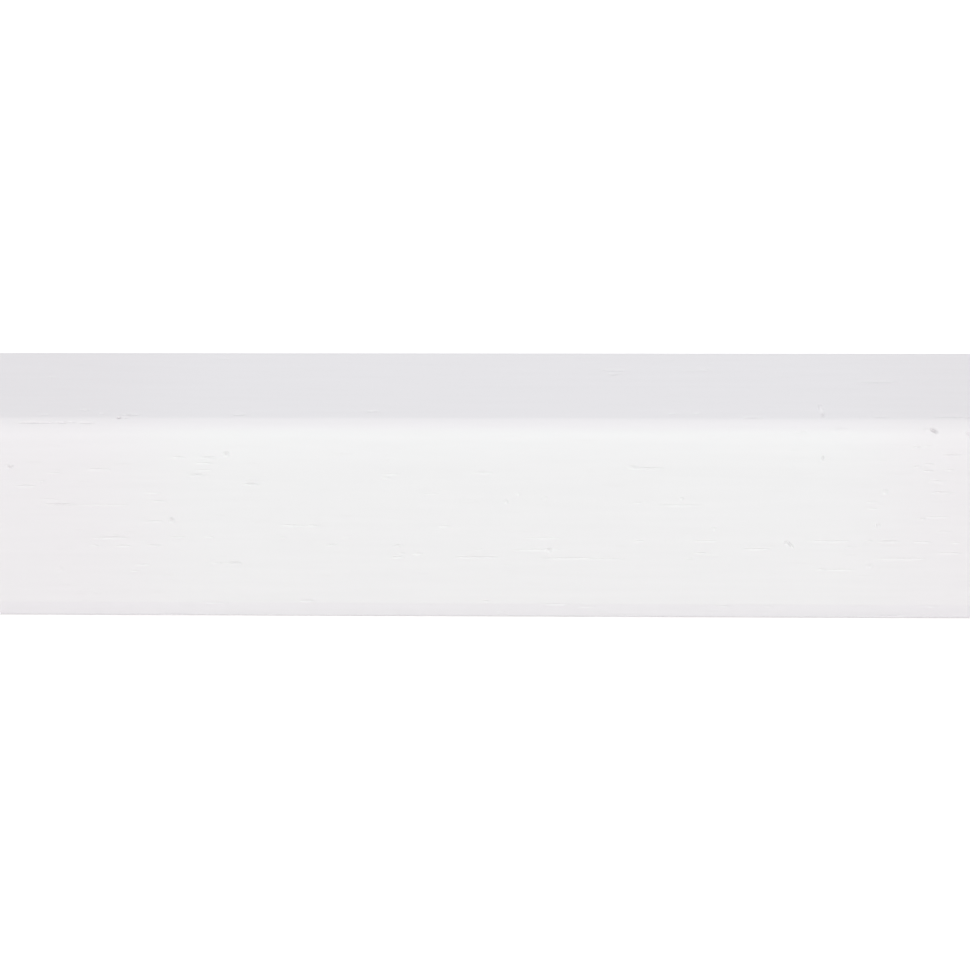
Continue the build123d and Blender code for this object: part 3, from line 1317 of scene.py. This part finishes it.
@dataclass
class Sweep:
    """Draws the section along the bead and leaves the planed faces a little uneven."""

    weld: float = 0.002 * MM
    streak_height: float = 0.010 * MM
    streak_length: float = 22 * MM
    streak_width: float = 1.1 * MM
    seed: float = 7.0

    def sizes(self) -> dict[str, float]:
        """Name the tree's inputs that are numbers.

        Returns:
            Each input's value.
        """
        return {
            "Weld": self.weld,
            "Streak Height": self.streak_height,
            "Streak Length": self.streak_length,
            "Streak Width": self.streak_width,
            "Seed": self.seed,
        }

    def tree(self) -> bpy.types.NodeTree:
        """Build the Geometry Nodes tree.

        Returns:
            The tree, with the section, the rail and each size as a named input.
        """
        tree = bpy.data.node_groups.new("bead_sweep", "GeometryNodeTree")
        tree.is_modifier = True
        sockets = {
            "Geometry": "NodeSocketGeometry",
            "Section": "NodeSocketObject",
            "Rail": "NodeSocketObject",
            **{name: "NodeSocketFloat" for name in self.sizes()},
            "Finish": "NodeSocketMaterial",
        }
        for name, kind in sockets.items():
            tree.interface.new_socket(name, in_out="INPUT", socket_type=kind)
        tree.interface.new_socket("Geometry", in_out="OUTPUT", socket_type="NodeSocketGeometry")
        sheet = NodeSheet(tree)
        start = sheet.add("NodeGroupInput").outputs
        lines = []
        for name in ("Rail", "Section"):
            source = sheet.add("GeometryNodeObjectInfo", {"Object": start[name]})
            chain = source.outputs["Geometry"]
            lines.append(sheet.add("GeometryNodeMeshToCurve", {0: chain}).outputs[0])
        rail, section = lines
        swept = sheet.add("GeometryNodeCurveToMesh", {"Curve": rail, "Profile Curve": section})
        along = sheet.add("GeometryNodeInputNamedAttribute", {"Name": "along"}).outputs[0]
        girth = sheet.add("GeometryNodeInputNamedAttribute", {"Name": "girth"}).outputs[0]
        skin = sheet.add("ShaderNodeCombineXYZ", {0: along, 1: girth}).outputs[0]
        mapped = sheet.add(
            "GeometryNodeStoreNamedAttribute",
            {"Geometry": swept.outputs[0], "Name": "stock", "Value": skin},
            data_type="FLOAT2",
            domain="CORNER",
        )
        welded = sheet.add(
            "GeometryNodeMergeByDistance", {"Geometry": mapped.outputs[0], "Distance": start["Weld"]}
        )
        place = sheet.add("GeometryNodeInputPosition").outputs[0]
        streak = sheet.add(
            "ShaderNodeCombineXYZ",
            {0: start["Streak Length"], 1: start["Streak Width"], 2: start["Streak Width"]},
        ).outputs[0]
        streaked = sheet.vector_math("DIVIDE", place, streak).outputs[0]
        noise = sheet.add(
            "ShaderNodeTexNoise",
            {"Vector": streaked, "W": start["Seed"], "Scale": 1.0, "Detail": 1.0},
            noise_dimensions="4D",
        )
        lower = sheet.math("SUBTRACT", noise.outputs["Fac"], 1.0)
        sunk = sheet.math("MULTIPLY", lower, start["Streak Height"])
        outward = sheet.add("GeometryNodeInputNormal").outputs[0]
        offset = sheet.vector_math("MULTIPLY", outward, sunk).outputs[0]
        planed = sheet.add(
            "GeometryNodeSetPosition", {"Geometry": welded.outputs[0], "Offset": offset}
        )
        smooth = sheet.add("GeometryNodeSetShadeSmooth", {"Geometry": planed.outputs[0]})
        real = sheet.add("GeometryNodeRealizeInstances", {"Geometry": smooth.outputs[0]})
        dressed = sheet.add(
            "GeometryNodeSetMaterial", {"Geometry": real.outputs[0], "Material": start["Finish"]}
        )
        sheet.add("NodeGroupOutput", {0: dressed.outputs[0]})
        return tree

    def run(
        self, section: bpy.types.Object, rail: bpy.types.Object, finish: bpy.types.Material
    ) -> bpy.types.Mesh:
        """Run the tree once and keep what it makes as a plain mesh.

        Args:
            section: the outline as a chain of edges.
            rail: the stations along the bead as a chain of edges.
            finish: the material that the bead gets.

        Returns:
            The swept mesh, open at both ends.
        """
        tree = self.tree()
        carrier = bpy.data.objects.new("sweep_carrier", bpy.data.meshes.new("sweep_carrier"))
        bpy.context.scene.collection.objects.link(carrier)
        modifier = carrier.modifiers.new("bead_sweep", "NODES")
        modifier.node_group = tree
        values = {"Section": section, "Rail": rail, **self.sizes(), "Finish": finish}
        for item in tree.interface.items_tree:
            if item.name in values:
                modifier[item.identifier] = values[item.name]
        depsgraph = bpy.context.evaluated_depsgraph_get()
        evaluated = carrier.evaluated_get(depsgraph)
        mesh = bpy.data.meshes.new_from_object(
            evaluated, preserve_all_data_layers=True, depsgraph=depsgraph
        )
        bpy.data.objects.remove(carrier)
        return mesh


@dataclass
class GlazingBead:
    """The bead: its section drawn along its length, its marks, its sawn ends and its finish."""

    node: str
    camera: PhotoCamera
    finish: PrimedTimber = field(default_factory=PrimedTimber)
    sweep: Sweep = field(default_factory=Sweep)
    # The primer's surface lies this far inside the solid, which leaves room for raised grain.
    inset: float = 0.02 * MM
    # Half the stretch that the photograph shows, with a little over, and its mesh spacing.
    window: float = 41.2 * MM
    fine_step: float = 0.44 * MM
    coarse_step: float = 80 * MM
    step_growth: float = 1.5
    # The sawn ends: how far back the last ring but one stands, and how much the rim is sanded off.
    rim_depth: float = 0.3 * MM
    rim_easing: float = 0.12 * MM
    # How many times the mesh's edges are cut round a mark, and how far beside it.
    mark_cuts: int = 2
    small_mark_cuts: int = 3
    mark_margin: float = 0.12 * MM
    # Marks deeper than this get painted shade in their hollows, down to the darkest at the full depth.
    shaded_depth: float = 0.065 * MM
    full_shade_depth: float = 0.25 * MM

    def stations(self, half_length: float) -> list[float]:
        """Space the rings of the mesh along the bead.

        Args:
            half_length: from the middle to either end.

        Returns:
            The stations, from one end to the other.
        """
        count = math.ceil(self.window / self.fine_step)
        right = [self.window * k / count for k in range(count + 1)]
        step = self.fine_step
        last = half_length - self.rim_depth
        while right[-1] + step * self.step_growth < last - step:
            step = min(step * self.step_growth, self.coarse_step)
            right.append(right[-1] + step)
        right += [last, half_length]
        return [-x for x in reversed(right[1:])] + right

    def chain(self, name: str, points: list, attribute: str, values: list) -> bpy.types.Object:
        """Lay a chain of edges that a Geometry Nodes tree can read.

        Args:
            name: the object's name.
            points: the chain's points.
            attribute: the name of the value kept at each point.
            values: those values.

        Returns:
            The chain's object.
        """
        mesh = bpy.data.meshes.new(name)
        mesh.from_pydata(points, [(k, k + 1) for k in range(len(points) - 1)], [])
        mesh.attributes.new(attribute, "FLOAT", "POINT").data.foreach_set("value", values)
        chain = bpy.data.objects.new(name, mesh)
        bpy.context.scene.collection.objects.link(chain)
        return chain

    def close_ends(self, mesh: bmesh.types.BMesh) -> None:
        """Close both sawn ends with a flat face and keep their rims crisp.

        Args:
            mesh: the swept mesh, open at both ends.
        """
        rims = [edge for edge in mesh.edges if edge.is_boundary]
        ends = bmesh.ops.holes_fill(mesh, edges=rims, sides=0)["faces"]
        for face in ends:
            face.smooth = False
            for edge in face.edges:
                edge.smooth = False
        bmesh.ops.recalc_face_normals(mesh, faces=mesh.faces)

    def edges_near(self, mesh: bmesh.types.BMesh, traces: list[Trace], margin: float) -> list:
        """Pick the edges that lie round the marks.

        Args:
            mesh: the bead's mesh.
            traces: where the marks lie.
            margin: how far an edge may lie beside a mark.

        Returns:
            The edges.
        """
        layers = mesh.verts.layers.float
        skin = np.array([(v[layers["along"]], v[layers["girth"]]) for v in mesh.verts])
        near = np.zeros(len(skin), dtype=bool)
        for trace in traces:
            lengthwise, crosswise = trace.place(skin[:, 0], skin[:, 1])
            beside = np.abs(lengthwise) < 1 + self.fine_step / trace.half_length
            beyond = np.abs(crosswise) < 1 + margin / trace.half_width
            near |= beside & beyond
        mesh.verts.index_update()
        return [edge for edge in mesh.edges if all(near[vertex.index] for vertex in edge.verts)]

    def refine(self, mesh: bmesh.types.BMesh, marks: list[tuple[Mark, Trace]]) -> None:
        """Make the mesh finer round the marks, and round the small ones the most.

        Args:
            mesh: the bead's mesh.
            marks: each mark and where it lies.
        """
        small = [trace for mark, trace in marks if mark.small]
        edges = self.edges_near(mesh, small, self.fine_step)
        grain = mesh.verts.layers.float["along"]
        long = [edge for edge in edges if edge.verts[0][grain] != edge.verts[1][grain]]
        bmesh.ops.subdivide_edges(mesh, edges=long, cuts=self.small_mark_cuts)
        edges = self.edges_near(mesh, [trace for _, trace in marks], self.mark_margin)
        bmesh.ops.subdivide_edges(mesh, edges=edges, cuts=self.mark_cuts, use_grid_fill=True)

    def cut_marks(self, mesh: bpy.types.Mesh, outline: Outline, marks: list[tuple[Mark, Trace]]) -> None:
        """Push the mesh in or out where the marks are.

        Args:
            mesh: the bead's mesh, with each point's place on the skin in its attributes.
            outline: the section's outline.
            marks: each mark and where it lies.
        """
        count = len(mesh.vertices)
        along, girth = np.zeros(count), np.zeros(count)
        mesh.attributes["along"].data.foreach_get("value", along)
        mesh.attributes["girth"].data.foreach_get("value", girth)
        points = np.zeros(count * 3)
        mesh.vertices.foreach_get("co", points)
        points = points.reshape(-1, 3)
        # Welding gave the seam, in the middle of the base, the mean of its two girths.
        seam = (np.abs(points[:, 1]) < self.sweep.weld) & (points[:, 2] < 2 * self.inset)
        girth[seam] = 0.0
        relief = np.zeros(count)
        for mark, trace in marks:
            relief += mark.relief(*trace.place(along, girth))
        half_length = float(along.max())
        at_rim = np.abs(along) > half_length - self.rim_depth / 2
        moved = relief - self.rim_easing * at_rim
        outward = outline.outward_at(girth)
        points[:, 1:] += outward * moved[:, None]
        mesh.vertices.foreach_set("co", points.ravel())
        # Painted shade, darkest at the bottom of the deepest marks.
        shade = np.interp(-relief, (self.shaded_depth, self.full_shade_depth), (0, 1))
        mesh.attributes.new("painted_mark_shade", "FLOAT", "POINT").data.foreach_set("value", shade)
        mesh.update()

    def build(self) -> bpy.types.Object:
        """Make the bead.

        Returns:
            The bead's object, dressed and in its place.
        """
        low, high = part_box(self.node)
        half_length = (high.x - low.x) / 2
        section = BeadSection(high.y - low.y, high.z - low.z)
        outline = section.outline(self.inset)
        # The sweep turns the section's plane over, so its points go in with both signs changed.
        ring = self.chain(
            "section_chain",
            [(-y, -z, 0.0) for y, z in outline.points],
            "girth",
            outline.girth.tolist(),
        )
        stations = self.stations(half_length)
        rail = self.chain("rail_chain", [(x, 0.0, 0.0) for x in stations], "along", stations)
        finish = self.finish.material(section, half_length, self.window)
        mesh = self.sweep.run(ring, rail, finish)
        for helper in (ring, rail):
            bpy.data.objects.remove(helper)
        marks = top_marks() + sight_arris_marks() + room_face_marks() + foot_marks()
        placed = [(mark, mark.trace(self.camera, outline)) for mark in marks]
        shaped = bmesh.new()
        shaped.from_mesh(mesh)
        self.refine(shaped, placed)
        self.close_ends(shaped)
        shaped.to_mesh(mesh)
        shaped.free()
        self.cut_marks(mesh, outline, placed)
        mesh.name = "primed_bead"
        bead = bpy.data.objects.new("primed_bead", mesh)
        bpy.context.scene.collection.objects.link(bead)
        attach(bead, "root")
        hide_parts(self.node)
        return bead


def report(piece: bpy.types.Object) -> None:
    """Log a piece's name and how many triangles it has.

    Args:
        piece: the finished piece.
    """
    triangles = sum(len(face.vertices) - 2 for face in piece.data.polygons)
    LOG.info("%s: %d triangles", piece.name, triangles)


def main() -> None:
    """Build the bead, the studio and the camera."""
    logging.basicConfig(level=logging.INFO, format="%(message)s")
    bpy.context.scene.view_settings.view_transform = "Standard"
    camera = PhotoCamera()
    camera.create()
    Studio().build()
    report(GlazingBead("glazing_bead", camera).build())


if __name__ == "__main__":
    main()
